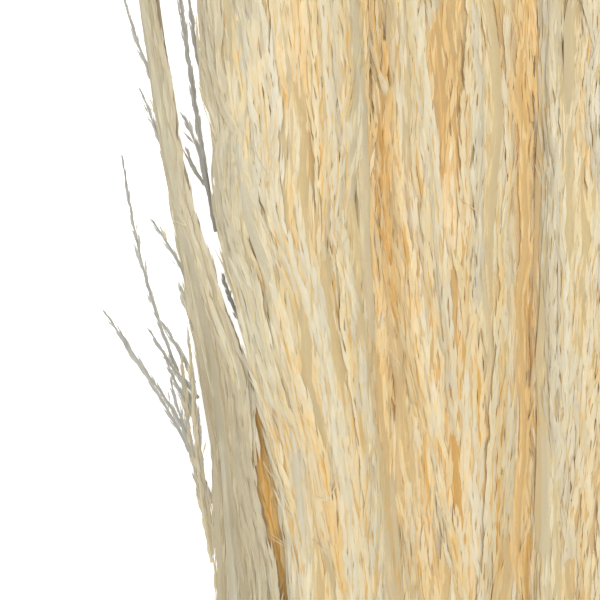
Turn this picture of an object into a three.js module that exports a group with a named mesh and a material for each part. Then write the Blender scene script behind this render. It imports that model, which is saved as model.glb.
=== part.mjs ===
// A bundle of dried pampas grass, laid down on a table.
// Each cut stalk is a culm that carries one plume. The stalks lie in layers, each layer in the hollows
// of the one below. A wound twine binds the culms, and the stalks fan out from it to the plumes.
// Millimetres. +Y runs from the cut ends to the plume tips, +Z is up, and the table is at Z = 0.
import * as THREE from "three";

// Driving dimensions
const LAYERS = [4, 5, 4]; // stalks in each layer, from the table up
const BUNDLE_LENGTH = 740; // from the lowest cut ends to the furthest tip
const PLUME_LENGTH = 440;
const TIE_AT = 140; // from the cut ends to the middle of the twine
const CULM_DIAMETER = 5; // at the cut end
const CULM_TOP_DIAMETER = 3.6; // where the plume begins
const CULM_GAP = 0.6; // between culms in the twine
const JOINT_SPACING = 105; // between the swollen joints of a culm
const JOINT_SWELL = 0.4; // how far a joint stands out of its culm
const SPREAD_AT_TIPS = 48; // from one plume's axis to the next, at the tips
const FAN_POWER = 1.8; // how early the stalks spread: 1 is a straight fan
const PLUME_WIDEST = 43; // across a plume that has all the room it wants
const PLUME_FLATTENING = 0.82; // height over width of a plume lying in the bundle
const PLUME_GAP = 0.8; // between plumes
const TABLE_SQUASH = 2.8; // how much of its height a plume loses where it rests on the table
const TWINE_DIAMETER = 2.4;
const TWINE_TURNS = 6;
const TWINE_GAP = 0.3; // between the culms and the twine
const TWINE_CLEARS_TABLE = 0.7; // the twine doesn't reach the table
const MATING_GAP = 0.3; // between a culm and the plume that it carries

// How much one stalk differs from the next
const LENGTH_VARIES = 16; // of a cut end or a tip, in millimetres
const SPREAD_VARIES = 0.09; // of the distance between two plumes, as a share of it
const WIDTH_VARIES = 0.08; // of a plume's width, as a share of it
const SEED = 11;

// Facets
const PLUME_SIDES = 12;
const PLUME_STATIONS = 16;
const CULM_SIDES = 8;
const CULM_STATIONS = 13;
const TIE_SIDES = 32;

// Derived sizes
const PLUME_BASE_AT = BUNDLE_LENGTH - PLUME_LENGTH;
const PITCH_IN_TIE = CULM_DIAMETER + CULM_GAP;
const TIE_HALF_WIDTH = (TWINE_TURNS * TWINE_DIAMETER) / 2;
const NESTED_RISE = Math.sin(Math.PI / 3); // of the pitch, for round things in each other's hollows

const { clamp, lerp, smoothstep } = THREE.MathUtils;

// Numbers that differ from stalk to stalk, but are the same each time the part is built
let randomState = SEED;
function varied(amount) {
  randomState = (Math.imul(randomState, 1664525) + 1013904223) >>> 0;
  return amount * (2 * (randomState / 2 ** 32) - 1);
}

// A smooth curve through [position, value] knots, which is level where two knots have one value
function curveThrough(knots) {
  const steps = knots.slice(1).map(([at, value], i) => (value - knots[i][1]) / (at - knots[i][0]));
  const slopes = knots.map((_, i) => {
    const before = steps[Math.max(i - 1, 0)];
    const after = steps[Math.min(i, steps.length - 1)];
    return before * after > 0 ? (2 * before * after) / (before + after) : 0;
  });
  return (position) => {
    const i = clamp(knots.findIndex(([at]) => position < at) - 1, 0, knots.length - 2);
    const start = position < knots[knots.length - 1][0] ? i : knots.length - 2;
    const span = knots[start + 1][0] - knots[start][0];
    const t = clamp((position - knots[start][0]) / span, 0, 1);
    const low = knots[start][1] * (1 + 2 * t) * (1 - t) ** 2;
    const high = knots[start + 1][1] * t * t * (3 - 2 * t);
    return low + high + span * t * (1 - t) * (slopes[start] * (1 - t) - slopes[start + 1] * t);
  };
}

// How far the stalks have fanned out at y: 0 in the twine and 1 at the tips
const openingShare = 0.12; // of the fan's length, over which the culms bend out of the twine
function fanned(y) {
  const along = clamp((y - TIE_AT) / (BUNDLE_LENGTH - TIE_AT), 0, 1);
  return (1 - (1 - along) ** FAN_POWER) * smoothstep(along, 0, openingShare);
}

// From one stalk's axis to the next in its layer. The cut ends splay a little behind the twine.
const endSplay = 0.22; // of the pitch in the twine
function pitchAt(y) {
  const behind = clamp((TIE_AT - y) / TIE_AT, 0, 1);
  return lerp(PITCH_IN_TIE * (1 + endSplay * behind ** 2), SPREAD_AT_TIPS, fanned(y));
}

// Height over width of what lies at y: culms are round, and plumes are flattened
const flatteningAt = (y) => lerp(1, PLUME_FLATTENING, smoothstep(y, TIE_AT, PLUME_BASE_AT));

// How much of the layers' rise is left at y, as the plumes thin out and sag towards their tips
const tipSag = 0.45;
const sagsOver = 0.55; // of a plume's length
const sagAt = (y) => 1 - tipSag * smoothstep(y, BUNDLE_LENGTH - sagsOver * PLUME_LENGTH, BUNDLE_LENGTH);

// The outline of a plume that has room: shares of its length, and of its greatest width
const plumeOutline = curveThrough([
  [0, CULM_TOP_DIAMETER / PLUME_WIDEST],
  [0.06, 0.34],
  [0.2, 0.84],
  [0.42, 1],
  [0.62, 0.93],
  [0.84, 0.6],
  [0.95, 0.3],
  [1, 0.06],
]);

// Height of the lowest layer's axis, up to where its plumes rest on the table
const restsFrom = PLUME_BASE_AT + 0.12 * PLUME_LENGTH;
const restsFully = PLUME_BASE_AT + 0.5 * PLUME_LENGTH;
const tieHeight = CULM_DIAMETER / 2 + TWINE_GAP + TWINE_DIAMETER + TWINE_CLEARS_TABLE;
const plumeBaseHeight = 13;
const culmHeight = curveThrough([
  [0, CULM_DIAMETER / 2],
  [TIE_AT - TIE_HALF_WIDTH, tieHeight],
  [TIE_AT + TIE_HALF_WIDTH, tieHeight],
  [PLUME_BASE_AT, plumeBaseHeight],
  [restsFrom, plumeBaseHeight * 1.15],
]);

// One stalk. Its column is counted in pitches from the middle of its layer.
function makeStalk(column, layer) {
  return {
    column,
    layer,
    aside: varied(SPREAD_VARIES),
    above: layer ? varied(SPREAD_VARIES) : 0,
    width: 1 - Math.abs(varied(WIDTH_VARIES)),
    cutAt: layer ? LENGTH_VARIES / 2 + varied(LENGTH_VARIES / 2) : 0,
    plumeFrom: PLUME_BASE_AT + varied(LENGTH_VARIES),
    plumeTo: BUNDLE_LENGTH - LENGTH_VARIES / 2 + varied(LENGTH_VARIES / 2),
  };
}

const stalks = LAYERS.flatMap((count, layer) =>
  Array.from({ length: count }, (_, i) => makeStalk(i - (count - 1) / 2, layer)),
);

// Half the width that a stalk's plume wants at y, before its neighbours press on it
function wantedAt(stalk, y) {
  const along = (y - stalk.plumeFrom) / (stalk.plumeTo - stalk.plumeFrom);
  return (PLUME_WIDEST / 2) * stalk.width * plumeOutline(along);
}

// Where a stalk's axis is at y
function axisAt(stalk, y) {
  const pitch = pitchAt(y);
  const opened = pitch * fanned(y);
  const onTable = Math.max(wantedAt(stalk, y) * flatteningAt(y) - TABLE_SQUASH, CULM_TOP_DIAMETER / 2);
  const lowest = lerp(culmHeight(y), onTable, smoothstep(y, restsFrom, restsFully));
  const rise = pitch * NESTED_RISE * flatteningAt(y) * sagAt(y);
  return new THREE.Vector3(
    stalk.column * pitch + stalk.aside * opened,
    y,
    lowest + stalk.layer * rise + stalk.above * opened * flatteningAt(y),
  );
}

// Half the width that a stalk's neighbours leave it at y
function roomAt(stalk, y) {
  const here = axisAt(stalk, y);
  const distances = stalks
    .filter((other) => other !== stalk)
    .map((other) => axisAt(other, y).sub(here))
    .map((away) => Math.hypot(away.x, away.z / flatteningAt(y)));
  return (Math.min(...distances) - PLUME_GAP) / 2;
}

const middleOf = (points) =>
  points.reduce((sum, point) => sum.add(point), new THREE.Vector3()).divideScalar(points.length);

function faceted(points, faces) {
  const geometry = new THREE.BufferGeometry().setFromPoints(points);
  geometry.setIndex(faces);
  geometry.computeVertexNormals();
  return geometry;
}

// A solid through rings that each lie across Y, with both ends capped
function solidThrough(rings) {
  const sides = rings[0].length;
  const points = [...rings.flat(), middleOf(rings[0]), middleOf(rings[rings.length - 1])];
  const lastRing = (rings.length - 1) * sides;
  const faces = [];
  for (let side = 0; side < sides; side++) {
    const next = (side + 1) % sides;
    for (let start = 0; start < lastRing; start += sides) {
      const [a, b] = [start + side, start + next];
      faces.push(a, a + sides, b, b, a + sides, b + sides);
    }
    faces.push(points.length - 2, side, next);
    faces.push(points.length - 1, lastRing + next, lastRing + side);
  }
  return faceted(points, faces);
}

// An ellipse that lies across Y and stays on or above the table
function ellipseAt(centre, halfWidth, halfHeight, sides) {
  return Array.from({ length: sides }, (_, i) => {
    const angle = (2 * Math.PI * i) / sides;
    const height = centre.z + halfHeight * Math.sin(angle);
    return new THREE.Vector3(centre.x + halfWidth * Math.cos(angle), centre.y, Math.max(height, 0));
  });
}

const spaced = (from, to, count) => Array.from({ length: count }, (_, i) => lerp(from, to, i / (count - 1)));

// Along a culm: its ends, its bends, and the flanks and crest of each joint
function culmStations(from, to) {
  const flank = 5;
  const clear = 2 * flank;
  const jointCount = Math.floor((to - from - clear) / JOINT_SPACING);
  const crests = Array.from({ length: jointCount }, (_, i) => from + (i + 1) * JOINT_SPACING);
  const bends = spaced(from, to, CULM_STATIONS).filter((y) => crests.every((at) => Math.abs(y - at) > clear));
  const plain = [...bends, ...crests.flatMap((at) => [at - flank, at + flank])].map((y) => [y, 0]);
  return [...plain, ...crests.map((at) => [at, JOINT_SWELL])].sort(([a], [b]) => a - b);
}

// A culm is thickest at its cut end
function culmGeometry(stalk) {
  const [from, to] = [stalk.cutAt, stalk.plumeFrom - MATING_GAP];
  const rings = culmStations(from, to).map(([y, swell]) => {
    const radius = lerp(CULM_DIAMETER, CULM_TOP_DIAMETER, (y - from) / (to - from)) / 2 + swell;
    return ellipseAt(axisAt(stalk, y), radius, radius, CULM_SIDES);
  });
  return solidThrough(rings);
}

function plumeGeometry(stalk) {
  const rings = spaced(stalk.plumeFrom, stalk.plumeTo, PLUME_STATIONS).map((y) => {
    const halfWidth = Math.min(wantedAt(stalk, y), roomAt(stalk, y));
    return ellipseAt(axisAt(stalk, y), halfWidth, halfWidth * flatteningAt(y), PLUME_SIDES);
  });
  return solidThrough(rings);
}

// The twine's section: [y, distance from the inside], with a crest for each turn and a valley between
function twineSection() {
  const [crest, valley, crestHalfWidth] = [0.9, 0.6, 0.25].map((share) => share * TWINE_DIAMETER);
  const [from, to] = [TIE_AT - TIE_HALF_WIDTH, TIE_AT + TIE_HALF_WIDTH];
  const turns = Array.from({ length: TWINE_TURNS }, (_, i) => from + (i + 0.5) * TWINE_DIAMETER);
  const outside = turns.flatMap((y) => [
    [y - crestHalfWidth, crest],
    [y + crestHalfWidth, crest],
    [y + TWINE_DIAMETER / 2, valley],
  ]);
  return [[from, 0], [from, valley], ...outside, [to, 0]];
}

// The line of a thread drawn tight round the culms, at a distance from them
function tightRound(distance) {
  const culms = stalks.map((stalk) => axisAt(stalk, TIE_AT));
  const middle = middleOf(culms);
  const step = (2 * Math.PI) / TIE_SIDES;
  const reach = (angle) => {
    const direction = new THREE.Vector3(Math.cos(angle), 0, Math.sin(angle));
    return Math.max(...culms.map((culm) => culm.clone().sub(middle).dot(direction))) + distance;
  };
  return Array.from({ length: TIE_SIDES }, (_, i) => {
    const angle = i * step;
    const along = (reach(angle + step) - reach(angle) * Math.cos(step)) / Math.sin(step);
    const across = reach(angle) * Math.cos(angle) - along * Math.sin(angle);
    const up = reach(angle) * Math.sin(angle) + along * Math.cos(angle);
    return new THREE.Vector3(middle.x + across, 0, middle.z + up);
  });
}

// The turns of twine lie side by side round the culms
function tieGeometry() {
  const lines = twineSection().map(([y, out]) =>
    tightRound(CULM_DIAMETER / 2 + TWINE_GAP + out).map((point) => point.setY(y)),
  );
  const faces = [];
  lines.forEach((_, corner) => {
    const nextCorner = (corner + 1) % lines.length;
    for (let side = 0; side < TIE_SIDES; side++) {
      const nextSide = (side + 1) % TIE_SIDES;
      const [a, b] = [corner * TIE_SIDES + side, corner * TIE_SIDES + nextSide];
      const [c, d] = [nextCorner * TIE_SIDES + side, nextCorner * TIE_SIDES + nextSide];
      faces.push(a, c, b, b, c, d);
    }
  });
  return faceted(lines.flat(), faces);
}

const culmMaterial = new THREE.MeshStandardMaterial({ color: "#d9bf83", roughness: 0.45, metalness: 0 });
const plumeMaterial = new THREE.MeshStandardMaterial({ color: "#e6d9b4", roughness: 0.75, metalness: 0 });
const tieMaterial = new THREE.MeshStandardMaterial({ color: "#b08d57", roughness: 0.9, metalness: 0 });

function named(name, geometry, material) {
  const mesh = new THREE.Mesh(geometry, material);
  mesh.name = name;
  return mesh;
}

const bundle = new THREE.Group();
stalks.forEach((stalk, i) => {
  const number = String(i + 1).padStart(2, "0");
  bundle.add(named(`stem_${number}`, culmGeometry(stalk), culmMaterial));
  bundle.add(named(`plume_${number}`, plumeGeometry(stalk), plumeMaterial));
});
bundle.add(named("twine_tie", tieGeometry(), tieMaterial));

// The origin is on the table, under the middle of the bundle
const extent = new THREE.Box3().setFromObject(bundle);
const middle = extent.getCenter(new THREE.Vector3());
bundle.position.set(-middle.x, -middle.y, -extent.min.z);

export default bundle;
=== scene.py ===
# A bundle of dried pampas grass, lying on a pale table. The stalks are bound with jute twine near their
# cut ends and fan out from it, and their plumes lie pressed together, all running the same way.
import math

import bpy
import numpy as np
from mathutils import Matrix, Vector


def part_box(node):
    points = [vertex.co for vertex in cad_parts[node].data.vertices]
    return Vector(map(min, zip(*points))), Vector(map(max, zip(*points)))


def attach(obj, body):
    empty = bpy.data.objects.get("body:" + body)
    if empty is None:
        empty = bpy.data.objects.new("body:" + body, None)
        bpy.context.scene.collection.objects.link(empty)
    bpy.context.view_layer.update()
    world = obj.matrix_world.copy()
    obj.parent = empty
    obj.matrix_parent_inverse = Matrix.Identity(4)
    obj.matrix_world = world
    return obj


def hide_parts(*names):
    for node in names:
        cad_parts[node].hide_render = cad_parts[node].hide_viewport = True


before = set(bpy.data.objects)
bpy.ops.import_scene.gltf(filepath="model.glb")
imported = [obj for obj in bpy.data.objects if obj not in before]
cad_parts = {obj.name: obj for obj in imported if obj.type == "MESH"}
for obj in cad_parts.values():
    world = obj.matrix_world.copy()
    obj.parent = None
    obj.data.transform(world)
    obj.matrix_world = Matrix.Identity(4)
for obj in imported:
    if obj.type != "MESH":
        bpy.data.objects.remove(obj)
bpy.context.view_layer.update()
MM = 0.001


# Camera. It looks straight down on the plumes, a little to the left of the bundle's middle, from far
# enough away that the plumes look the same size across the view.
VIEW_WIDTH = 150 * MM
VIEW_CENTRE = Vector((-55 * MM, 92 * MM, 62 * MM))


def in_scene(name, data):
    """Puts a mesh, a lamp or a camera in the scene as an object."""
    made = bpy.data.objects.new(name, data)
    bpy.context.scene.collection.objects.link(made)
    return made


camera_data = bpy.data.cameras.new("camera")
camera_data.lens = 110
camera_data.sensor_width = 36
camera = in_scene("camera", camera_data)
camera_height = VIEW_WIDTH * camera_data.lens / camera_data.sensor_width
camera.location = VIEW_CENTRE + Vector((0, 0, camera_height))
bpy.context.scene.camera = camera


# Culms. The stems of pampas are straight canes of dry grass, smooth and straw yellow, with a swollen
# joint every hand's breadth. They are cut square, and the cut shows the white pith in a hard thin wall.
CULM_SIDES = 20
CULM_STATIONS = 90
PITH_SUNK = 1.6 * MM  # the pith shrinks into the cane as it dries
WALL_SHARE = 0.24  # of a culm's radius
CUT_BEVEL = 0.25 * MM
FIBRES = (2200, 35, 2200)  # repeats per metre, far finer across a culm than along it
BLOTCHES = (120, 18, 120)


def eased(values, reach):
    """A run of values with its corners rounded over a number of steps."""
    weights = np.hanning(2 * reach + 3)[1:-1]
    padded = np.pad(values, reach, mode="reflect", reflect_type="odd")
    return np.convolve(padded, weights / weights.sum(), "valid")


def cad_track(node, samples):
    """A CAD node's line along Y, made smooth: y, middle x, middle z, half width and half height."""
    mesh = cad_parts[node].data
    points = np.empty(len(mesh.vertices) * 3, np.float32)
    mesh.vertices.foreach_get("co", points)
    points = points.reshape(-1, 3).astype(float)
    heights = np.round(points[:, 1], 5)
    rings = []
    for y in np.unique(heights):
        ring = points[heights == y]
        widest = ring[ring[:, 0].argmax()]
        half_width = (ring[:, 0].max() - ring[:, 0].min()) / 2
        rings.append((y, widest[0] - half_width, widest[2], half_width, ring[:, 2].max() - widest[2]))
    rings = np.array(rings).T
    fine = np.linspace(rings[0][0], rings[0][-1], samples)
    reach = max(2, samples // (2 * rings.shape[1]))
    return np.array([fine] + [eased(np.interp(fine, rings[0], column), reach) for column in rings[1:]])


def unit(vectors):
    return vectors / np.linalg.norm(vectors, axis=-1, keepdims=True)


def skin(rings):
    """Closed skins over rings (skin, station, side, xyz), as corners and triangles."""
    skins, stations, sides = rings.shape[:3]
    corner = np.arange(skins * stations * sides).reshape(skins, stations, sides)
    a, b = corner[:, :-1], np.roll(corner, -1, axis=2)[:, :-1]
    d, c = corner[:, 1:], np.roll(corner, -1, axis=2)[:, 1:]
    walls = np.concatenate([np.stack([a, d, c], -1).reshape(-1, 3), np.stack([a, c, b], -1).reshape(-1, 3)])
    fan = np.array([(0, i, i + 1) for i in range(1, sides - 1)])
    first, last = corner[:, 0][:, fan].reshape(-1, 3), corner[:, -1][:, fan[:, ::-1]].reshape(-1, 3)
    return rings.reshape(-1, 3), np.concatenate([walls, first, last])


def tube_rings(paths, radii, sides, reference=(0.0, 0.0, 1.0)):
    """Rings of a round tube along each path (tube, station, xyz), with a radius at each station."""
    tangent = unit(np.gradient(paths, axis=1))
    across = unit(np.cross(tangent, reference))
    up = np.cross(across, tangent)
    angle = np.linspace(0, 2 * math.pi, sides, endpoint=False)[:, None]
    circle = np.cos(angle) * across[:, :, None] + np.sin(angle) * up[:, :, None]
    return paths[:, :, None] + radii[:, :, None, None] * circle


def new_piece(name, corners, triangles, material, uv=None, smooth=True):
    """A mesh object. uv gives each corner its place on the map that the material reads."""
    mesh = bpy.data.meshes.new(name)
    mesh.vertices.add(len(corners))
    mesh.vertices.foreach_set("co", corners.astype(np.float32).ravel())
    mesh.loops.add(triangles.size)
    mesh.loops.foreach_set("vertex_index", triangles.astype(np.int32).ravel())
    mesh.polygons.add(len(triangles))
    mesh.polygons.foreach_set("loop_start", np.arange(0, triangles.size, 3, dtype=np.int32))
    mesh.polygons.foreach_set("use_smooth", np.full(len(triangles), smooth))
    if uv is not None:
        layer = mesh.uv_layers.new(name="OFBake")
        layer.data.foreach_set("uv", uv[triangles.ravel()].astype(np.float32).ravel())
    mesh.update(calc_edges=True)
    mesh.materials.append(material)
    return in_scene(name, mesh)


def linear(colour):
    """An sRGB hex colour as the linear numbers that a shader takes."""
    parts = [int(colour[i : i + 2], 16) / 255 for i in (1, 3, 5)]
    return (*[c / 12.92 if c <= 0.04045 else ((c + 0.055) / 1.055) ** 2.4 for c in parts], 1.0)


def blank_material(name):
    """A new material and its node tree, which is still empty."""
    material = bpy.data.materials.new(name)
    material.use_nodes = True
    material.node_tree.nodes.clear()
    return material, material.node_tree


def add(tree, kind, inputs=None, stops=None, **settings):
    """Adds one node with its settings. An input is a value, or another node's output to link."""
    made = tree.nodes.new(kind)
    for name, value in settings.items():
        setattr(made, name, value)
    for name, value in (inputs or {}).items():
        if isinstance(value, bpy.types.NodeSocket):
            tree.links.new(value, made.inputs[name])
        else:
            made.inputs[name].default_value = value
    for i, (position, colour) in enumerate(stops or []):
        stop = made.color_ramp.elements[i] if i < 2 else made.color_ramp.elements.new(position)
        stop.position, stop.color = position, linear(colour)
    return made


# Dry grass cane: a waxy skin over fibres that run the length of the stem. It gives a faint shine, with
# fine lengthwise lines and slow changes between straw, honey and a greener straw.
def dry_cane():
    material, tree = blank_material("dry_grass_cane")
    place = add(tree, "ShaderNodeTexCoord").outputs["Object"]
    along = add(tree, "ShaderNodeMapping", {"Vector": place, "Scale": FIBRES}).outputs[0]
    fibres = add(tree, "ShaderNodeTexNoise", {"Vector": along, "Scale": 1.0, "Detail": 4.0}).outputs["Fac"]
    wide = add(tree, "ShaderNodeMapping", {"Vector": place, "Scale": BLOTCHES}).outputs[0]
    blotches = add(tree, "ShaderNodeTexNoise", {"Vector": wide, "Scale": 1.0, "Detail": 3.0}).outputs["Fac"]
    both = add(tree, "ShaderNodeMix", {0: 0.55, 2: fibres, 3: blotches}, data_type="FLOAT").outputs[0]
    stops = [(0.3, "#a9823f"), (0.72, "#ead7a3"), (0.5, "#d6b972")]
    colour = add(tree, "ShaderNodeValToRGB", {"Fac": both}, stops=stops).outputs[0]
    rough = add(tree, "ShaderNodeMapRange", {"Value": fibres, "To Min": 0.34, "To Max": 0.52}).outputs[0]
    bump = add(tree, "ShaderNodeBump", {"Height": fibres, "Strength": 0.35, "Distance": 0.15 * MM}).outputs[0]
    look = {"Base Color": colour, "Roughness": rough, "IOR": 1.5, "Normal": bump}
    surface = add(tree, "ShaderNodeBsdfPrincipled", look)
    add(tree, "ShaderNodeOutputMaterial", {"Surface": surface.outputs[0]})
    return material


cane = dry_cane()
culm_nodes = sorted(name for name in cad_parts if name.startswith("stem_"))
culm_tracks = [cad_track(node, CULM_STATIONS) for node in culm_nodes]
for node, track in zip(culm_nodes, culm_tracks):
    path = track[[0, 1, 2]].T[:, [1, 0, 2]]
    radius = track[3]
    # The cut's five rings run from the sunk pith up to its rim, over the wall and round the bevel. They
    # double back, so they are turned along a line that doesn't, and are then moved into place.
    pith = np.repeat(path[:1], 4, axis=0)
    pith[:2, 1] += PITH_SUNK
    pith_radius = radius[0] * np.array([0.35, 1 - WALL_SHARE * 1.1, 1 - WALL_SHARE, 0.96])
    bevel = path[:1] + [0, CUT_BEVEL, 0]
    whole = np.concatenate([pith, bevel, path[1:]])[None]
    radii = np.concatenate([pith_radius, radius])[None]
    straight = np.concatenate([np.repeat(path[:1], 5, axis=0), path[1:]])[None].copy()
    straight[0, :5, 1] += np.arange(5) * 1e-5
    rings = tube_rings(straight, radii, CULM_SIDES) + (whole - straight)[:, :, None]
    piece = new_piece(node.replace("stem", "culm"), *skin(rings), cane)
    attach(piece, "root")
    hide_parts(node)


# Twine. The culms are bound with jute twine, two plies of brown bast fibre twisted together. Its turns lie
# side by side, and a small knot sits on top of them, from which the two cut ends lie along the culms.
TWINE_TURNS = 6  # the last one ends half way round, under the culms
TWINE_STEP = 0.6 * MM  # from one ring of a ply to the next
TWINE_GAP = 0.3 * MM  # between the culms and the twine
TAIL = 24 * MM
KNOT_RADIUS = 3.3 * MM
PLY_TWIST = 7.5 * MM  # along the twine, for one whole turn of its plies
PLY_SIDES = 8
PLY_OFFSET = 0.5  # from the middle of the twine, as a share of its radius
PLY_RADIUS = 0.56
FUZZ_HAIRS = 420
FUZZ_LENGTH = (1.5, 4.5)  # mm
FUZZ_RADIUS = 0.06 * MM
TAIL_ASIDE = 4 * MM
ABOVE_TABLE = 0.1 * MM  # the least height of anything fine
tie_low, tie_high = (Vector(corner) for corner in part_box("twine_tie"))
twine_radius = (tie_high.y - tie_low.y) / TWINE_TURNS / 2
tie_y = (tie_low.y + tie_high.y) / 2


# Jute: long coarse bast fibres that hold together by their twist alone, so the twine is matt and hairy.
# The fibres show as light and dark lines that run along each ply.
def jute():
    material, tree = blank_material("twisted_jute")
    uv = add(tree, "ShaderNodeUVMap", uv_map="OFBake").outputs[0]
    fibre_place = add(tree, "ShaderNodeMapping", {"Vector": uv, "Scale": (7, 260, 1)}).outputs[0]
    coarse = {"Vector": fibre_place, "Scale": 1.0, "Detail": 4.0, "Roughness": 0.7}
    fibres = add(tree, "ShaderNodeTexNoise", coarse).outputs["Fac"]
    stops = [(0.25, "#7d5c34"), (0.8, "#dcc08e"), (0.5, "#b5915b")]
    colour = add(tree, "ShaderNodeValToRGB", {"Fac": fibres}, stops=stops).outputs[0]
    bump = add(tree, "ShaderNodeBump", {"Height": fibres, "Strength": 0.6, "Distance": 0.2 * MM}).outputs[0]
    look = {"Base Color": colour, "Roughness": 0.9, "IOR": 1.5, "Normal": bump}
    surface = add(tree, "ShaderNodeBsdfPrincipled", look)
    add(tree, "ShaderNodeOutputMaterial", {"Surface": surface.outputs[0]})
    return material


def smoothstep(value):
    value = np.clip(value, 0, 1)
    return value * value * (3 - 2 * value)


def culm_tops(x, y):
    """How high the culms reach at (x, y)."""
    highest = np.zeros_like(x)
    for track in culm_tracks:
        radius = np.interp(y, track[0], track[3])
        aside = (x - np.interp(y, track[0], track[1])) / radius
        top = np.interp(y, track[0], track[2]) + radius * np.sqrt(np.clip(1 - aside**2, 0, 1))
        highest = np.maximum(highest, np.where(np.abs(aside) < 1, top, 0))
    return highest


def steps_along(points):
    """A path resampled in even steps."""
    length = np.concatenate([[0], np.cumsum(np.linalg.norm(np.diff(points, axis=0), axis=1))])
    even = np.linspace(0, length[-1], int(length[-1] / TWINE_STEP) + 1)
    return np.stack([np.interp(even, length, column) for column in points.T], -1)


def tight_loop():
    """The X and Z of a twine drawn tight round the culms, in even steps from the middle of the top."""
    culms = np.array([[np.interp(tie_y, track[0], track[i]) for i in (1, 2, 3)] for track in culm_tracks])
    angle = math.pi / 2 - np.linspace(0, 2 * math.pi, 721)
    direction = np.stack([np.cos(angle), np.sin(angle)], -1)
    outermost = (culms[:, :2] @ direction.T + culms[:, 2:]).argmax(axis=0)
    corners = culms[outermost, :2] + direction * (culms[outermost, 2:] + TWINE_GAP + twine_radius)
    return steps_along(corners)[:-1]


def carried_frames(points):
    """Two directions across a path at each point, carried along it without twisting."""
    tangent = unit(np.gradient(points, axis=0))
    across = [unit(np.cross(tangent[0], (0.3, 0.2, 0.9)))]
    for direction in tangent[1:]:
        across.append(unit(across[-1] - direction * (across[-1] @ direction)))
    return np.array(across), np.cross(tangent, across), tangent


def joined(parts):
    """Several (corners, triangles, uv) as one."""
    starts = np.cumsum([0] + [len(p[0]) for p in parts[:-1]])
    return (
        np.concatenate([p[0] for p in parts]),
        np.concatenate([p[1] + start for p, start in zip(parts, starts)]),
        np.concatenate([p[2] for p in parts]),
    )


loop = tight_loop()
wound = np.arange(int(len(loop) * (TWINE_TURNS - 0.5)))
across_tie = np.linspace(tie_low.y + twine_radius, tie_high.y - twine_radius, len(wound))
turns = np.stack([loop[wound % len(loop), 0], across_tie, loop[wound % len(loop), 1]], -1)
wound_length = len(turns) * TWINE_STEP


def twine_part(path, rng):
    """A length of two-ply twine with its fuzz, as corners, triangles and map places."""
    across, up, tangent = carried_frames(path)
    run = np.arange(len(path)) * TWINE_STEP
    parts = []
    for ply in (0, math.pi):
        turned = (run / PLY_TWIST * 2 * math.pi + ply)[:, None]
        centre = path + twine_radius * PLY_OFFSET * (np.cos(turned) * across + np.sin(turned) * up)
        around = np.linspace(0, 2 * math.pi, PLY_SIDES, endpoint=False)[None, :, None] + turned[:, None]
        uneven = 1 + 0.06 * np.sin(run * 2 * math.pi / (5 * MM) + ply)
        radius = twine_radius * PLY_RADIUS * uneven[:, None, None]
        rings = centre[:, None] + radius * (np.cos(around) * across[:, None] + np.sin(around) * up[:, None])
        corners, triangles = skin(rings[None])
        u = np.tile(np.abs(np.linspace(-1, 1, PLY_SIDES, endpoint=False)), len(path))
        v = np.repeat(run / wound_length, PLY_SIDES)
        parts.append((corners, triangles, np.stack([u, v], -1)))
    hairs = int(FUZZ_HAIRS * run[-1] / wound_length)
    at = rng.integers(1, len(path) - 1, hairs)
    turn = rng.uniform(0, 2 * math.pi, (hairs, 1))
    out = np.cos(turn) * across[at] + np.sin(turn) * up[at]
    either_way = tangent[at] * rng.choice([-1, 1], (hairs, 1))
    direction = unit(either_way + out * rng.uniform(0.15, 0.7, (hairs, 1)))
    s = np.linspace(0, 1, 4)[None, :, None]
    length = rng.uniform(*FUZZ_LENGTH, (hairs, 1, 1)) * MM
    curl = np.cross(direction, out)[:, None] * rng.normal(0, 0.3, (hairs, 1, 1))
    foot = path[at][:, None] + out[:, None] * twine_radius * 0.8
    lines = foot + (direction[:, None] * s + curl * s * s) * length
    lines[..., 2] = np.maximum(lines[..., 2], ABOVE_TABLE)
    thinning = FUZZ_RADIUS * (1 - 0.6 * s[..., 0]) * np.ones((hairs, 1))
    corners, triangles = skin(tube_rings(lines, thinning, 3))
    parts.append((corners, triangles, np.tile([0.5, 0.5], (len(corners), 1))))
    return joined(parts)


# The knot is a loop that crosses itself three times, drawn small and tight.
rng = np.random.default_rng(7)
knot_place = Vector((loop[0, 0], tie_y, loop[:, 1].max() + twine_radius + KNOT_RADIUS * 0.55))
t = np.linspace(0, 2 * math.pi, 120)
from_middle = 2 + np.cos(3 * t)
knot = np.stack([from_middle * np.cos(2 * t), from_middle * np.sin(2 * t), 1.1 * np.sin(3 * t)], -1)
knot = knot * KNOT_RADIUS / 3 * [1, 1, 0.8] + np.array(knot_place)
parts = [twine_part(turns, rng), twine_part(steps_along(knot), rng)]
for side, end_y in ((-1, tie_low.y - TAIL), (1, tie_high.y + TAIL)):
    y = np.linspace(tie_y, end_y, 60)
    x = knot_place.x + side * TAIL_ASIDE * smoothstep(np.abs(y - tie_y) / TAIL)
    tops = np.pad(culm_tops(x, y), 6, mode="edge")
    on_culms = np.convolve(tops, np.ones(13) / 13, "valid") + twine_radius
    over_turns = np.abs(y - tie_y) < (tie_high.y - tie_low.y) / 2 + twine_radius
    z = np.where(over_turns, loop[:, 1].max() + 2 * twine_radius, on_culms)
    tail = np.stack([eased(column, 5) for column in (x, y, z)], -1)
    parts.append(twine_part(steps_along(tail), rng))
corners, triangles, uv = joined(parts)
twine = new_piece("twine", corners, triangles, jute(), uv)
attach(twine, "root")
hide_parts("twine_tie")


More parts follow.
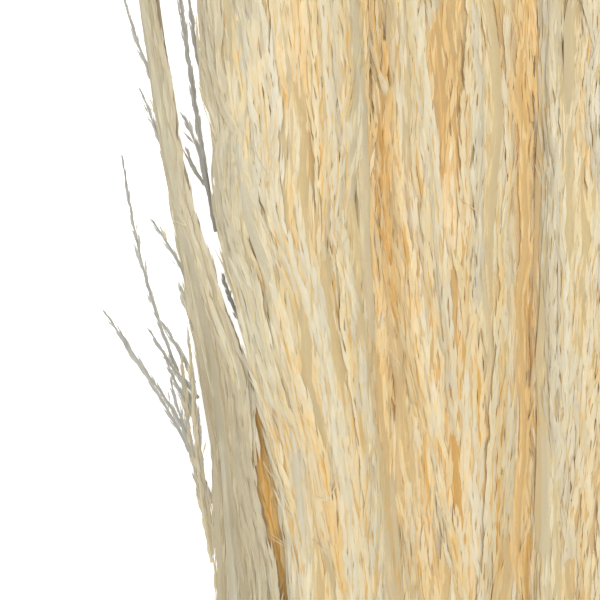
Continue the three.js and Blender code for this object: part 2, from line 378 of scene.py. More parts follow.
# Plumes. Each is the branched flower head of one stalk. Its branches rise from the culm's tip and bend
# at once to run side by side, and each is clothed in long dry spikelets that overlap like scales. The
# branches cling together in flat locks that taper to their tips, with golden gaps between them.
SQUARENESS = 3.6  # 2 is an ellipse
FLATTENED = 0.82  # a plume's height over its width
THINNEST = 2.4 * MM  # half the width that a plume keeps at its ends
INTERLOCKS = 1.13  # how far a plume's branches reach in among its neighbours', as a share of its width
GOLDEN = (3 - math.sqrt(5)) / 2  # steps of this share of a turn never line up
TILES = 16  # a side of the colour map, whose columns are tones and whose rows are warmths
LEAST_WARM = 1 / TILES  # the row below it is the neutral grey of the loose twigs
MOST = 0.999  # of a tone or a warmth


# Dried pampas husk: papery and thin, with fine veins from foot to tip. Light goes through it and
# bounces on inside the plume. Its colour holds painted light and shade as well: silver grey is painted
# shade at the bundle's edge, ivory is the husk in the open, and gold is painted light in the depths and gaps.
def dried_husk():
    material, tree = blank_material("dried_pampas_husk")
    uv = add(tree, "ShaderNodeUVMap", uv_map="OFBake").outputs[0]
    scaled = add(tree, "ShaderNodeVectorMath", {0: uv, 1: (TILES, TILES, 1)}, operation="MULTIPLY").outputs[0]
    tile = add(tree, "ShaderNodeVectorMath", {0: scaled}, operation="FLOOR").outputs[0]
    column_row = add(tree, "ShaderNodeSeparateXYZ", {0: tile})
    stretch = {0: scaled, 1: (7, 1.1, 1)}
    vein_place = add(tree, "ShaderNodeVectorMath", stretch, operation="MULTIPLY").outputs[0]
    fine = {"Vector": vein_place, "Scale": 1.0, "Detail": 3.0, "Roughness": 0.6}
    veins = add(tree, "ShaderNodeTexNoise", fine).outputs["Fac"]
    by_column = {0: column_row.outputs[0], 1: 0.8 / (TILES - 1), 2: -0.12}
    tone = add(tree, "ShaderNodeMath", by_column, operation="MULTIPLY_ADD").outputs[0]
    tone = add(tree, "ShaderNodeMath", {0: veins, 1: 0.45, 2: tone}, operation="MULTIPLY_ADD").outputs[0]
    by_row = {0: column_row.outputs[1], 1: 1 / (TILES - 1)}
    warmth = add(tree, "ShaderNodeMath", by_row, operation="MULTIPLY").outputs[0]
    # Rows by warmth: silver grey is painted shade, ivory the open husk, gold painted light, beside each
    # husk's own warmth.
    places = (0.0, 1.0, 0.065, 0.35, 0.62)
    deep_stops = zip(places, ("#bab8b0", "#eabf68", "#d3c8a8", "#e9e3c8", "#efdeac"))
    pale_stops = zip(places, ("#d2d1cb", "#f7da90", "#e4dabf", "#f5f1df", "#f8edc9"))
    deep = add(tree, "ShaderNodeValToRGB", {"Fac": warmth}, stops=deep_stops).outputs[0]
    pale = add(tree, "ShaderNodeValToRGB", {"Fac": warmth}, stops=pale_stops).outputs[0]
    husk = add(tree, "ShaderNodeMix", {0: tone, 6: deep, 7: pale}, data_type="RGBA").outputs[2]
    bump = add(tree, "ShaderNodeBump", {"Height": veins, "Strength": 0.15, "Distance": 0.06 * MM}).outputs[0]
    look = {"Base Color": husk, "Roughness": 0.5, "IOR": 1.45, "Normal": bump}
    surface = add(tree, "ShaderNodeBsdfPrincipled", look)
    through = add(tree, "ShaderNodeBsdfTranslucent", {"Color": husk, "Normal": bump})
    both = add(tree, "ShaderNodeMixShader", {0: 0.4, 1: surface.outputs[0], 2: through.outputs[0]})
    add(tree, "ShaderNodeOutputMaterial", {"Surface": both.outputs[0]})
    return material


def on_tile(tone, warmth, across, along):
    """The map place of each point: a tile by tone and by warmth (0 to 1), and a place within the tile."""
    column = np.clip((tone * TILES).astype(int), 0, TILES - 1)
    row = np.clip((warmth * TILES).astype(int), 0, TILES - 1)
    return np.stack([(column + 0.08 + 0.84 * across) / TILES, (row + 0.04 + 0.92 * along) / TILES], -1)


def squared(angle):
    """How far out the skin of a plume is at an angle. Plumes press each other into rounded boxes."""
    return (np.abs(np.cos(angle)) ** SQUARENESS + np.abs(np.sin(angle)) ** SQUARENESS) ** (-1 / SQUARENESS)


def round_skin(share):
    """The angle at a share of the way round a plume. Equal steps of it are equally long on the skin."""
    angle = np.linspace(0, 2 * math.pi, 721)
    x = squared(angle) * np.cos(angle) * INTERLOCKS
    z = squared(angle) * np.sin(angle) * FLATTENED
    length = np.concatenate([[0], np.cumsum(np.hypot(np.diff(x), np.diff(z)))])
    return np.interp(share % 1, length / length[-1], angle)


class PlumeShape:
    """Where things are in a plume. A place is y, an angle round the plume and a share of the way out."""

    def __init__(self, node):
        self.y, self.x, self.z, self.half_width, self.half_height = cad_track(node, 240)
        self.start, self.end = self.y[0], self.y[-1]

    def section(self, y):
        """The middle's x and z, half the width and half the height at y."""
        columns = (self.x, self.z, self.half_width, self.half_height)
        return [np.interp(y, self.y, column) for column in columns]

    def centre(self, y):
        x, z = self.section(y)[:2]
        return np.stack([x, y, z], -1)

    def at(self, y, angle, out):
        x, z, half_width, half_height = self.section(y)
        across = np.maximum(half_width * INTERLOCKS, THINNEST)
        height = np.maximum(half_height, THINNEST)
        out = out * squared(angle)
        return np.stack([x + across * out * np.cos(angle), y, z + height * out * np.sin(angle)], -1)

    def reach(self, points):
        """How far out points lie: 1 is on the plume's skin. Beyond its ends it is far."""
        x, z, half_width, half_height = self.section(points[..., 1])
        across = (points[..., 0] - x) / half_width
        up = (points[..., 2] - z) / half_height
        along = (points[..., 1] > self.start) & (points[..., 1] < self.end)
        return np.where(along, np.hypot(across, up), 9.0)


husk_material = dried_husk()
plume_nodes = sorted(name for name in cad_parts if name.startswith("plume_"))
shapes = {node: PlumeShape(node) for node in plume_nodes}


def half_spread(y):
    """Half the width of the whole bundle at y."""
    edges = [np.interp(y, shape.y, np.abs(shape.x) + shape.half_width, 0, 0) for shape in shapes.values()]
    return np.max(edges, axis=0) + 1 * MM


def nearest_other(points, node):
    """How far outside the other plumes points lie: 1 is on the skin of the nearest."""
    nearest = np.full(points.shape[:-1], 9.0)
    for other in plume_nodes:
        if other != node:
            nearest = np.minimum(nearest, shapes[other].reach(points))
    return nearest


def painted_inner_light(points, node):
    """Painted light and shade, as warmth: deep in the plume or close to another, husks are painted gold
    for light bounced among them. Towards the bundle's edges they are painted grey, as shade.
    """
    near = smoothstep((1.6 - nearest_other(points, node)) / 0.5)
    depth = smoothstep((1.0 - shapes[node].reach(points)) / 0.3)
    from_edge = np.abs(points[..., 0]) / half_spread(points[..., 1])
    gold = (0.25 * near + 0.2 * depth) * smoothstep((1.05 - from_edge) / 0.4)
    return gold - 0.5 * smoothstep((from_edge - 0.5) / 0.42)


def waves(rng, count, along, length):
    """A gentle wander for each of count strands, between -1 and 1, along a distance in metres."""
    total = 0
    for share, wavelength in ((0.65, length), (0.35, length / 2.7)):
        phase = rng.uniform(0, 2 * math.pi, (count, 1))
        stretch = rng.uniform(0.7, 1.4, (count, 1))
        total = total + share * np.sin(2 * math.pi * along * stretch / wavelength + phase)
    return total


def tipward(s):
    """0 for most of the way along a branch, and rising to 1 over its last third."""
    return smoothstep((s - 0.7) / 0.3)


def branch_taper(s):
    """How thick an inner branch is along its length, as a share of its thickest."""
    return 0.35 + 0.65 * np.sin(math.pi * np.clip(s * 0.92 + 0.06, 0, 1))


# Locks: the outer branches, which cling together side by side and part again near their tips.
LOCKS_IN_PLUME = 56
LOCK_STRANDS = 6
LOCK_LENGTH = (115 * MM, 185 * MM)
STRAND_SPACING = 2.4 * MM
STRAND_STATIONS = 23
STRAND_RADIUS = 0.85 * MM


def lock_strands(shape, rng):
    """A plume's outer branches: points (strand, station, xyz), outward directions, tone and warmth."""
    locks = np.arange(LOCKS_IN_PLUME)
    share = (locks + rng.uniform(0, 1, locks.size)) / locks.size
    length = rng.uniform(*LOCK_LENGTH, locks.size) * (1 - 0.35 * share)
    tip = shape.start + (0.16 + 0.84 * share**0.9) * (shape.end - shape.start)
    tip = tip + rng.uniform(-4, 5, locks.size) * MM
    start = np.maximum(tip - length, shape.start + rng.uniform(0, 20, locks.size) * MM)
    angle = round_skin(locks * GOLDEN + rng.uniform(-0.02, 0.02, locks.size))
    out = rng.uniform(0.84, 1.0, locks.size)
    tone = rng.uniform(0.4, 0.75, locks.size)
    warmth = rng.uniform(0.38, 0.64, locks.size)
    count = locks.size * LOCK_STRANDS
    owner = np.repeat(locks, LOCK_STRANDS)
    place = np.tile(np.arange(LOCK_STRANDS) - (LOCK_STRANDS - 1) / 2, locks.size)
    place = place + rng.uniform(-0.3, 0.3, count)
    lift = rng.uniform(-0.9, 0.6, count) * MM
    first = start[owner] + rng.uniform(0, 30, count) * MM
    last = tip[owner] - np.abs(place) * rng.uniform(2, 12, count) * MM
    s = np.linspace(0, 1, STRAND_STATIONS)[None]
    y = first[:, None] + (last - first)[:, None] * s
    bend = rng.normal(0, 0.1, locks.size)[owner][:, None] * (s - 0.4)
    rise = (0.62 + 0.38 * smoothstep(s / 0.45)) * (1 - 0.07 * tipward(s))
    centre = shape.at(y, angle[owner][:, None] + bend, out[owner][:, None] * rise)
    outward = unit((centre - shape.centre(y)) * [1, 0, 1] + 1e-9)
    sideways = np.cross(outward, (0, 1, 0))
    gather = 0.8 + 0.2 * smoothstep(s / 0.35) - 0.45 * smoothstep((s - 0.6) / 0.4)
    aside = place[:, None] * STRAND_SPACING * gather
    aside = aside + 0.5 * MM * waves(rng, count, y, 50 * MM) + 0.35 * MM * waves(rng, count, y, 18 * MM)
    above = lift[:, None] * gather + 0.3 * MM * waves(rng, count, y, 38 * MM)
    above = above - np.abs(place)[:, None] * 0.2 * MM
    points = centre + sideways * aside[..., None] + outward * above[..., None]
    tone = np.clip(tone[owner] + rng.normal(0, 0.08, count), 0, MOST)
    # Painted light: strands that lie lower among the others are painted warmer, towards gold, for light
    # bounced among husks.
    warmth = np.clip(warmth[owner] - lift / (8 * MM) + rng.normal(0, 0.09, count), 0.25, MOST)
    return points, outward, tone, warmth


# Inner branches: those close beneath the locks, those deep in the plume, and those in the valley between
# a plume and the next in its layer.
UNDER_BRANCHES = 170
DEEP_BRANCHES = 100
INNER_STATIONS = 11
VALLEY_BRANCHES = 26
VALLEY_STATIONS = 14
LAYER_STEP = 45 * MM  # more than from one plume to the next in a layer
LAYER_RISE = 9 * MM  # less than from one layer to the next


def inner_strands(shape, rng):
    """The branches under the locks, whose painted gold shows in the gaps: points and radii."""
    count = UNDER_BRANCHES + DEEP_BRANCHES
    order = np.arange(count)
    length = rng.uniform(110, 180, count) * MM
    share = (order * GOLDEN) % 1
    first = shape.start - 20 * MM + share * (shape.end - shape.start - 60 * MM)
    first = np.maximum(first, shape.start + 3 * MM)
    last = np.minimum(first + length, shape.end - 4 * MM)
    s = np.linspace(0, 1, INNER_STATIONS)[None]
    y = first[:, None] + (last - first)[:, None] * s
    angle = round_skin(order * GOLDEN * 1.7)
    out = np.where(order < UNDER_BRANCHES, rng.uniform(0.78, 0.9, count), rng.uniform(0.5, 0.76, count))
    rise = (0.7 + 0.3 * smoothstep(s / 0.4)) * (1 - 0.1 * tipward(s))
    points = shape.at(y, angle[:, None] + 0.1 * waves(rng, count, y, 90 * MM), out[:, None] * rise)
    thickness = np.where(order < UNDER_BRANCHES, 1.5, 2.2) * rng.uniform(0.75, 1.25, count) * MM
    return points, thickness[:, None] * branch_taper(s)


def next_in_layer(shape):
    """The plume beside this one in its layer, towards +X, if there is one."""
    for other in shapes.values():
        apart = other.x.mean() - shape.x.mean()
        if 0 < apart < LAYER_STEP and abs(other.z.mean() - shape.z.mean()) < LAYER_RISE:
            return other
    return None


def valley_strands(shape, beside, rng):
    """Branches between a plume and the one beside it: points, outward directions and radii."""
    count = VALLEY_BRANCHES
    lowest = max(shape.start, beside.start) + 30 * MM
    highest = min(shape.end, beside.end) - 25 * MM
    first = rng.uniform(lowest, highest - 110 * MM, count)
    last = np.minimum(first + rng.uniform(110, 170, count) * MM, highest)
    s = np.linspace(0, 1, VALLEY_STATIONS)[None]
    y = first[:, None] + (last - first)[:, None] * s
    near_edge = np.interp(y, shape.y, shape.x + shape.half_width)
    far_edge = np.interp(y, beside.y, beside.x - beside.half_width)
    x = (near_edge + far_edge) / 2 + rng.uniform(-2.2, 2.2, (count, 1)) * MM
    x = x + 1.4 * MM * waves(rng, count, y, 60 * MM)
    height = (shape.section(y)[3] + beside.section(y)[3]) / 2
    middle = (shape.section(y)[1] + beside.section(y)[1]) / 2
    side = np.where(np.arange(count) % 4 == 0, -1, 1)[:, None]
    z = middle + height * side * rng.uniform(0.05, 0.66, (count, 1)) * (1 - 0.25 * tipward(s))
    outward = np.stack([0 * x, 0 * x, side + 0 * x], -1)
    return np.stack([x, y, z], -1), outward, rng.uniform(0.7, 1.2, (count, 1)) * MM * branch_taper(s)


# Spikelets: the long dry flowers along each branch, which overlap like scales.
SPIKELET_LENGTH = 8 * MM
SPIKELET_WIDTH = 0.85 * MM
SPIKELET_EVERY = 0.64 * MM  # along an outer branch
HIDDEN_EVERY = 3.5 * MM  # along a branch that lies against another plume or the table
UNDER_EVERY = 1.6 * MM
DEEP_EVERY = 4 * MM
VALLEY_EVERY = 0.9 * MM
LEANS = (0.012, 0.05)  # how far a spikelet leans out from its branch, as a slope
LOOSE_SHARE = 0.06  # of the spikelets, which lean out further


def spikelets(strands, outward, every, rng, branch_radius=STRAND_RADIUS, leans=LEANS):
    """Spikelets along strands: foot, direction, outward direction, size and owner of each."""
    steps = np.linalg.norm(np.diff(strands, axis=1), axis=2)
    length = steps.sum(axis=1)
    counts = np.maximum((length / every).astype(int), 4)
    owner = np.repeat(np.arange(len(strands)), counts)
    order = np.arange(owner.size) - np.repeat(np.cumsum(counts) - counts, counts)
    s = np.clip((order + rng.uniform(-0.4, 0.4, owner.size) + 0.5) / counts[owner], 0, 0.97)
    at = s * (strands.shape[1] - 1)
    low = np.minimum(at.astype(int), strands.shape[1] - 2)
    blend = (at - low)[:, None]
    foot = strands[owner, low] * (1 - blend) + strands[owner, low + 1] * blend
    along = unit(strands[owner, low + 1] - strands[owner, low])
    radial = unit(outward[owner, low] - along * (outward[owner, low] * along).sum(1, keepdims=True))
    sideways = np.cross(along, radial)
    turn = rng.uniform(-2.2, 2.2, owner.size)
    out = radial * np.cos(turn)[:, None] + sideways * np.sin(turn)[:, None]
    spread = radial * (0.8 * np.cos(turn))[:, None] + sideways * (1.9 * np.sin(turn))[:, None]
    near_tip = tipward(s)
    loose = 1 + 2.5 * (rng.uniform(0, 1, owner.size) < LOOSE_SHARE)
    lean = (rng.uniform(*leans, owner.size) * loose * (1 - 0.6 * near_tip))[:, None]
    size = (1 - 0.35 * near_tip) * rng.uniform(0.75, 1.25, owner.size)
    set_out = rng.uniform(0.3, 0.9, owner.size) * branch_radius * (1 - 0.6 * near_tip)
    foot = foot + spread * set_out[:, None]
    direction = unit(along + out * lean)
    looks = radial * np.cos(0.25 * turn)[:, None] + sideways * np.sin(0.25 * turn)[:, None]
    facing = unit(looks - direction * (looks * direction).sum(1, keepdims=True))
    return foot, direction, facing, size, owner


# A husk is a thin blade, widest below its middle and pointed at both ends.
# Each row is a place along it, and a share of its width to one side.
HUSK = np.array([(0.0, 0.0), (0.42, 0.5), (0.42, -0.5), (1.0, 0.0)])
HUSK_SIDES = np.array([(0, 1, 2), (3, 2, 1)])
HUSK_ROLL = 0.14  # radians that a husk may lie turned about its own length


def husks(foot, direction, facing, size, rng):
    """One husk for each spikelet, as corners and triangles."""
    count = len(foot)
    roll = rng.normal(0, HUSK_ROLL, count)[:, None]
    side = np.cross(direction, facing) * np.cos(roll) + facing * np.sin(roll)
    length = (SPIKELET_LENGTH * size)[:, None]
    width = (SPIKELET_WIDTH * rng.uniform(0.6, 1.4, count) * np.sqrt(size))[:, None]
    curl = rng.uniform(-0.02, 0.006, count)[:, None]
    sway = rng.normal(0, 0.02, count)[:, None]
    along = HUSK[None, :, 0] * length
    out = curl * HUSK[None, :, 0] ** 2 * length
    aside = HUSK[None, :, 1] * width + sway * HUSK[None, :, 0] ** 2 * length
    corners = foot[:, None] + direction[:, None] * along[..., None] + facing[:, None] * out[..., None]
    corners = corners + side[:, None] * aside[..., None]
    triangles = np.arange(count)[:, None, None] * len(HUSK) + HUSK_SIDES[None]
    return corners.reshape(-1, 3), triangles.reshape(-1, 3)


def husk_part(
    strands, outward, tone, warmth, every, rng,
    inside=None, scale=1.0, branch_radius=STRAND_RADIUS, leans=LEANS, least_warm=LEAST_WARM,
):
    """The husks along strands, as corners, triangles and map places. inside is a plume whose painted
    light and shade (gold in its depths, grey at the bundle's edges) is added to their warmth.
    """
    foot, direction, facing, size, owner = spikelets(strands, outward, every, rng, branch_radius, leans)
    corners, triangles = husks(foot, direction, facing, size * scale, rng)
    tone = np.clip(tone[owner] + rng.normal(0, 0.05, len(owner)), 0, MOST)
    warmth = warmth[owner]
    # Painted light and shade of the plume they lie in, added to their warmth.
    if inside is not None:
        warmth = warmth + painted_inner_light(foot, inside)
    warmth = np.clip(warmth + rng.normal(0, 0.05, len(owner)), least_warm, MOST)
    across = np.tile(HUSK[:, 1] + 0.5, len(foot))
    along = np.tile(HUSK[:, 0], len(foot))
    uv = on_tile(np.repeat(tone, len(HUSK)), np.repeat(warmth, len(HUSK)), across, along)
    return corners, triangles, uv


def tube_part(points, radii, sides, tone, warmth):
    """Round branches along points, as corners, triangles and map places."""
    corners, triangles = skin(tube_rings(points, radii, sides))
    count, stations = points.shape[:2]
    across = np.tile(np.abs(np.linspace(-1, 1, sides, endpoint=False)), count * stations)
    along = np.tile(np.repeat((np.arange(stations) % 5) / 4, sides), count)
    warmth = np.broadcast_to(np.asarray(warmth).reshape(count, -1), (count, stations))
    uv = on_tile(np.repeat(tone, stations * sides), np.repeat(warmth.ravel(), sides), across, along)
    return corners, triangles, uv


# One side of the middle layer's outermost plume has come away as a loose lock, with a gap beside it.
# Each row is a place along Y, then the X of the lock's two edges and of the near edge of the rest.
PARTED_PLUME = "plume_05"
PARTING = np.array([
    (12, -78.5, -58.0, -58.5),
    (22, -78.8, -59.4, -58.8),
    (30, -79.2, -61.8, -59.6),
    (42, -79.6, -64.0, -61.2),
    (54, -80.6, -65.8, -63.2),
    (68, -83.2, -66.4, -66.4),
    (76, -84.0, -68.6, -68.2),
    (84, -84.8, -71.4, -70.2),
    (92, -85.8, -74.3, -71.6),
    (98, -86.5, -75.9, -74.0),
    (107, -88.0, -79.5, -76.1),
    (117, -89.5, -82.4, -77.6),
    (129, -91.2, -85.0, -77.6),
    (142, -93.8, -87.0, -78.8),
    (154, -95.2, -89.0, -79.8),
    (167, -96.8, -91.6, -80.8),
    (230, -105.5, -98.0, -90.0),
    (300, -111.0, -103.0, -97.0),
]) * MM
PARTING_SHARE = 0.28  # of the plume's width that is in the loose lock
PARTING_EASES = 40 * MM  # below the parting, over which the plume closes again
PARTING_BRANCHES = 10
PARTING_STATIONS = 14
GAP_EDGES = {True: (1.5 * MM, 3.4 * MM), False: (1.7 * MM, 2.6 * MM)}  # kept by locks and by inner branches
GAP_X = -50 * MM  # plumes that reach past it lie by the gap
LOCK_FLAT = 0.6  # the loose lock's height, as a share of what it was


def parted(points, shape, edge, has_lock):
    """Strands moved clear of the gap. In the parted plume those of one side become the loose lock."""
    y = points[..., 1]
    lock_left, lock_right, rest_left = (np.interp(y, PARTING[:, 0], PARTING[:, i]) for i in (1, 2, 3))
    opened = smoothstep((y - PARTING[0, 0] + PARTING_EASES) / PARTING_EASES)
    middle, middle_z, half_width, _ = shape.section(y)
    half = half_width * INTERLOCKS
    left = middle - half
    right = middle + half
    moved = points.copy()
    if has_lock:
        share = (points[..., 0] - left) / (right - left)
        mean_share = share.mean(axis=1)
        in_lock = mean_share < PARTING_SHARE
        order = np.searchsorted(np.sort(mean_share[in_lock]), mean_share) / in_lock.sum()
        place = np.clip(order[:, None] + (share - mean_share[:, None]), 0, 1)
        lock_x = lock_left + edge + place * (lock_right - lock_left - 2 * edge)
        rest_share = np.clip((share - PARTING_SHARE) / (1 - PARTING_SHARE), 0, 1.1)
        rest_x = rest_left + edge + rest_share * (right - rest_left - edge)
        x = np.where(in_lock[:, None], lock_x, rest_x)
        flat = np.where(in_lock[:, None], LOCK_FLAT, 1.0)
        moved[..., 2] = middle_z + (points[..., 2] - middle_z) * (1 + (flat - 1) * opened)
    else:
        limit = np.maximum(rest_left + edge, left)
        x = right - (right - points[..., 0]) * (right - limit) / (right - left)
    moved[..., 0] += (x - points[..., 0]) * opened
    return moved


# Sprays: twigs that stand out from the loose lock, with narrow husks. A few of them run together as the
# lock's outer strand. Each row is the X and Y of a twig's foot and of its tip, and how far it bows aside.
OUTER_STRAND = np.array([
    (-78.3, 24.0, -84.4, 84.0, 0.9),
    (-78.0, 28.0, -83.6, 80.0, 0.7),
    (-78.6, 22.0, -83.0, 71.0, 0.9),
    (-79.4, 28.0, -85.8, 78.0, 0.9),
    (-78.8, 26.0, -81.8, 63.0, 0.6),
    (-79.8, 30.0, -86.2, 74.0, 0.8),
]) * MM
TWIGS = np.array([
    (-82.0, 60.0, -101.8, 130.0, 3.0),
    (-83.5, 94.0, -93.3, 112.5, -0.6),
    (-80.0, 43.0, -106.2, 89.0, -1.2),
    (-95.0, 71.0, -102.0, 84.0, 0.5),
    (-81.0, 48.0, -95.8, 74.5, -0.8),
    (-78.2, 38.0, -89.0, 71.0, 0.8),
    (-83.0, 70.0, -91.2, 86.0, -0.5),
    (-82.0, 66.0, -94.0, 84.0, 0.7),
    (-81.5, 58.0, -90.5, 78.0, 0.5),
    (-81.3, 80.0, -86.6, 95.5, 0.4),
    (-93.2, 148.0, -101.5, 172.0, 0.4),
    (-87.8, 117.0, -96.6, 146.7, -0.8),
    (-79.3, 120.5, -85.8, 140.5, -0.9),
    (-80.4, 122.5, -84.6, 131.0, 0.3),
    (-77.4, 110.0, -87.6, 182.0, 0.5),
    (-77.9, 114.0, -87.0, 176.0, 0.2),
    (-79.8, 144.0, -85.6, 182.0, 0.3),
    (-71.0, 86.5, -74.8, 98.0, 0.4),
]) * MM
SPRAYS = np.concatenate([OUTER_STRAND, TWIGS])
SPRAY_RADIUS = 0.5 * MM
SPRAY_EVERY = 1.0 * MM
SPRAY_HUSKS = 0.55  # their size, as a share of the others'
SPRAY_LEANS = (0.02, 0.14)


def spray_strands(shape, rng):
    """The sprays of the loose lock, bowed from foot to tip: points, outward directions and radii."""
    s = np.linspace(0, 1, 12)[None, :, None]
    foot, tip, bow = SPRAYS[:, None, 0:2], SPRAYS[:, None, 2:4], SPRAYS[:, None, 4:]
    across = unit(np.stack([tip[..., 1] - foot[..., 1], foot[..., 0] - tip[..., 0]], -1))
    flat = foot + (tip - foot) * s - across * bow * np.sin(math.pi * s)
    rise = rng.uniform(-4, 5, (len(SPRAYS), 1)) * s[..., 0] - 6 * (1 - s[..., 0])
    height = np.interp(flat[..., 1], shape.y, shape.z) + rise * MM
    points = np.stack([flat[..., 0], flat[..., 1], height], -1)
    outward = np.broadcast_to([0.0, 0.0, 1.0], points.shape)
    radii = SPRAY_RADIUS * (1 - 0.6 * s[..., 0]) * np.ones((len(SPRAYS), 1))
    return points, outward, radii


def parting_strands(shape, rng):
    """Branches low in the gap where it closes, painted gold for light in the gap: points and radii."""
    along = np.linspace(PARTING[0, 0] - 20 * MM, 66 * MM, PARTING_STATIONS)
    y = along[None] * np.ones((PARTING_BRANCHES, 1))
    gap = np.interp(y, PARTING[:, 0], (PARTING[:, 2] + PARTING[:, 3]) / 2)
    x = gap + rng.uniform(-2, 2, (PARTING_BRANCHES, 1)) * MM
    x = x + 0.5 * MM * waves(rng, PARTING_BRANCHES, y, 40 * MM)
    z = np.interp(y, shape.y, shape.z) + rng.uniform(-6, 0, (PARTING_BRANCHES, 1)) * MM
    taper = 1 - 0.5 * np.linspace(0, 1, PARTING_STATIONS)[None] ** 2
    return np.stack([x, y, z], -1), rng.uniform(0.8, 1.3, (PARTING_BRANCHES, 1)) * MM * taper


# Flyaways: the silky hairs of the spikelets' feet, a few of which stand off the plume in tufts.
TUFTS = 30
TUFT_HAIRS = 4
HAIR_RADIUS = 0.2 * MM  # thicker than a real one, so that it shows


def flyaways(strands, outward, rng):
    """Hairs that stand off the strands: points and radii."""
    owner = np.repeat(rng.integers(0, len(strands), TUFTS), TUFT_HAIRS)
    station = np.repeat(rng.integers(3, strands.shape[1] - 2, TUFTS), TUFT_HAIRS)
    count = len(owner)
    foot = strands[owner, station]
    along = unit(strands[owner, station + 1] - foot)
    out = outward[owner, station]
    side = np.cross(along, out)
    aside = rng.normal(0, 0.65, (count, 1))
    direction = unit(along + side * aside + out * rng.uniform(0.02, 0.2, (count, 1)))
    length = rng.uniform(5, 13, (count, 1, 1)) * MM
    s = np.linspace(0, 1, 5)[None, :, None]
    curl = side[:, None] * rng.normal(0, 0.16, (count, 1, 1))
    curl = curl + out[:, None] * rng.uniform(-0.12, 0.0, (count, 1, 1))
    points = foot[:, None] + out[:, None] * STRAND_RADIUS + (direction[:, None] * s + curl * s * s) * length
    return points, HAIR_RADIUS * (1 - 0.7 * s[..., 0]) * rng.uniform(0.6, 1.2, (count, 1))


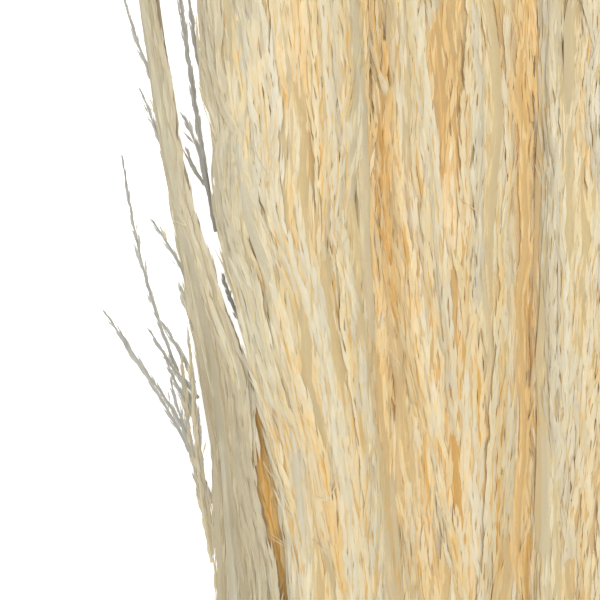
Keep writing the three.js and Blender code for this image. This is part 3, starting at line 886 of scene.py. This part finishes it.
# Each plume: its branches first, then the husks that clothe them, joined in one mesh.
COVERED = 1.1  # a branch can't be seen within this of another plume's middle, where 1 is its skin
COVERED_SHARE = 0.85  # of a branch's middle, above which it counts as hidden
SKYWARD = 0.8  # how much branches that face sideways are turned to the light from above
SCALLOPS = 9 * MM  # from one swelling of a branch's core to the next
for number, node in enumerate(plume_nodes):
    rng = np.random.default_rng(100 + number)
    shape = shapes[node]
    has_lock = node == PARTED_PLUME
    strands, outward, tone, warmth = lock_strands(shape, rng)
    inner, inner_radii = inner_strands(shape, rng)
    middle = strands[:, STRAND_STATIONS // 3 : -STRAND_STATIONS // 4]
    covered = (nearest_other(middle, node) < COVERED) | (middle[..., 2] < 3.5 * MM)
    hidden = covered.mean(axis=1) > COVERED_SHARE
    shown = ~hidden
    outward = unit(outward + [0, 0, SKYWARD] * smoothstep(outward[..., 2:] + 0.6))
    if has_lock or shape.x.min() < GAP_X:
        lock_edge, inner_edge = GAP_EDGES[has_lock]
        strands = parted(strands, shape, lock_edge, has_lock)
        inner = parted(inner, shape, inner_edge, has_lock)
    strands[..., 2] = np.maximum(strands[..., 2], 1.2 * MM)
    inner[..., 2] = np.maximum(inner[..., 2], inner_radii + 0.3 * MM)
    parts = []
    for chosen, every in ((shown, SPIKELET_EVERY), (hidden, HIDDEN_EVERY)):
        clothed = strands[chosen], outward[chosen], tone[chosen], warmth[chosen]
        parts.append(husk_part(*clothed, every, rng, inside=node))
    phase = rng.uniform(0, 6, (len(strands), 1))
    scallop = 1 + 0.12 * np.sin(strands[..., 1] * 2 * math.pi / SCALLOPS + phase)
    radius = 0.7 * STRAND_RADIUS * scallop * (1.0 - 0.85 * tipward(np.linspace(0, 1, STRAND_STATIONS)))[None]
    cores = strands[:, ::2]
    # Painted light: cores are painted 0.3 warmer, with the plume's painted light and shade, so slits in shade
    # show gold.
    core_warmth = np.clip(warmth[:, None] + painted_inner_light(cores, node) + 0.3, LEAST_WARM, MOST)
    parts.append(tube_part(cores, radius[:, ::2], 3, tone, core_warmth))
    inner_tone = rng.uniform(0.35, 0.7, len(inner))
    # Painted light: inner branches are painted gold for lying under the locks, with the plume's painted light
    # and shade.
    inner_warmth = rng.uniform(0.4, 0.75, len(inner))
    inner_warmth = np.clip(inner_warmth + painted_inner_light(inner, node).mean(axis=1), LEAST_WARM, MOST)
    parts.append(tube_part(inner, inner_radii, 4, inner_tone, inner_warmth))
    inner_out = unit((inner - shape.centre(inner[..., 1])) * [1, 0, 1])
    for run, every in ((slice(None, UNDER_BRANCHES), UNDER_EVERY), (slice(UNDER_BRANCHES, None), DEEP_EVERY)):
        clothed = inner[run], inner_out[run], inner_tone[run], inner_warmth[run]
        parts.append(husk_part(*clothed, every, rng, branch_radius=1.5 * MM))
    beside = next_in_layer(shape)
    if beside is not None:
        valley, valley_out, valley_radii = valley_strands(shape, beside, rng)
        valley_tone = rng.uniform(0.35, 0.7, len(valley))
        # Painted light: the valley's branches are painted gold, for light bounced between the two plumes.
        valley_warmth = rng.uniform(0.5, 0.9, len(valley))
        parts.append(tube_part(valley, valley_radii, 4, valley_tone, valley_warmth))
        parts.append(husk_part(valley, valley_out, valley_tone, valley_warmth, VALLEY_EVERY, rng))
    hairs, hair_radii = flyaways(strands[shown], outward[shown], rng)
    hair_tone = rng.uniform(0.6, 0.99, len(hairs))
    hair_warmth = rng.uniform(0.2, 0.45, len(hairs))
    parts.append(tube_part(hairs, hair_radii, 3, hair_tone, hair_warmth))
    if has_lock:
        behind, behind_radii = parting_strands(shape, rng)
        behind_tone = rng.uniform(0.3, 0.6, len(behind))
        # Painted light: these branches are painted deep gold.
        behind_warmth = rng.uniform(0.85, 0.99, len(behind))
        up = np.broadcast_to([0.0, 0.0, 1.0], behind.shape)
        parts.append(tube_part(behind, behind_radii, 4, behind_tone, behind_warmth))
        parts.append(husk_part(behind, up, behind_tone, behind_warmth, VALLEY_EVERY, rng))
        sprays, spray_out, spray_radii = spray_strands(shape, rng)
        spray_tone = rng.uniform(0.2, 0.5, len(sprays))
        in_outer_strand = np.arange(len(sprays)) < len(OUTER_STRAND)
        spray_warmth = np.where(in_outer_strand, rng.uniform(0.07, 0.2, len(sprays)), 0)
        parts.append(tube_part(sprays, spray_radii, 5, spray_tone, spray_warmth))
        clothed = sprays, spray_out, spray_tone, spray_warmth - 0.05
        thin = {"scale": SPRAY_HUSKS, "branch_radius": 0.3 * MM, "leans": SPRAY_LEANS, "least_warm": 0}
        parts.append(husk_part(*clothed, SPRAY_EVERY, rng, **thin))
    corners, triangles, uv = joined(parts)
    corners[:, 2] = np.maximum(corners[:, 2], ABOVE_TABLE)
    name = node.replace("plume", "plume_head")
    plume = new_piece(name, corners, triangles, husk_material, uv, smooth=False)
    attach(plume, "root")
    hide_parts(node)


# Table and light. The bundle lies on a board with matt white paint, under a white sky. One soft lamp
# hangs straight above the plumes, so their husks are lit from the front and the gaps, painted gold, stay lit.
TABLE_HALF = 4  # metres, so that its edges are out of sight
LAMP_PLACE = Vector((-0.05, 0.09, 1.5))
LAMP_AIM = Vector((-0.05, 0.09, 0.05))


# White paint scatters light evenly, with no shine. It glows a little, so the bundle's shadow stays pale.
def white_paint():
    material, tree = blank_material("white_table")
    look = {"Base Color": linear("#f4f4f4"), "Roughness": 0.8}
    look |= {"Emission Color": (1, 1, 1, 1), "Emission Strength": 0.7}
    surface = add(tree, "ShaderNodeBsdfPrincipled", look)
    add(tree, "ShaderNodeOutputMaterial", {"Surface": surface.outputs[0]})
    return material


board = bpy.data.meshes.new("table_top")
board_corners = [(x * TABLE_HALF, y * TABLE_HALF, 0) for x, y in ((-1, -1), (1, -1), (1, 1), (-1, 1))]
board.from_pydata(board_corners, [], [(0, 1, 2, 3)])
board.materials.append(white_paint())
table_top = in_scene("table_top", board)

world = bpy.data.worlds.new("studio")
world.use_nodes = True
sky = world.node_tree.nodes["Background"]
sky.inputs["Color"].default_value = (1, 1, 1, 1)
sky.inputs["Strength"].default_value = 0.25
bpy.context.scene.world = world

lamp_data = bpy.data.lights.new("key_light", "AREA")
lamp_data.shape = "SQUARE"
lamp_data.size = 0.35
lamp_data.energy = 19.4
lamp = in_scene("key_light", lamp_data)
lamp.location = LAMP_PLACE
lamp.rotation_euler = (LAMP_AIM - LAMP_PLACE).to_track_quat("-Z", "Y").to_euler()

# Light bounces many times among pale husks, which warms the gaps; their gold is also painted into the husks.
scene = bpy.context.scene
scene.view_settings.view_transform = "Standard"
scene.cycles.diffuse_bounces = 24
scene.cycles.transmission_bounces = 24
scene.cycles.max_bounces = 28
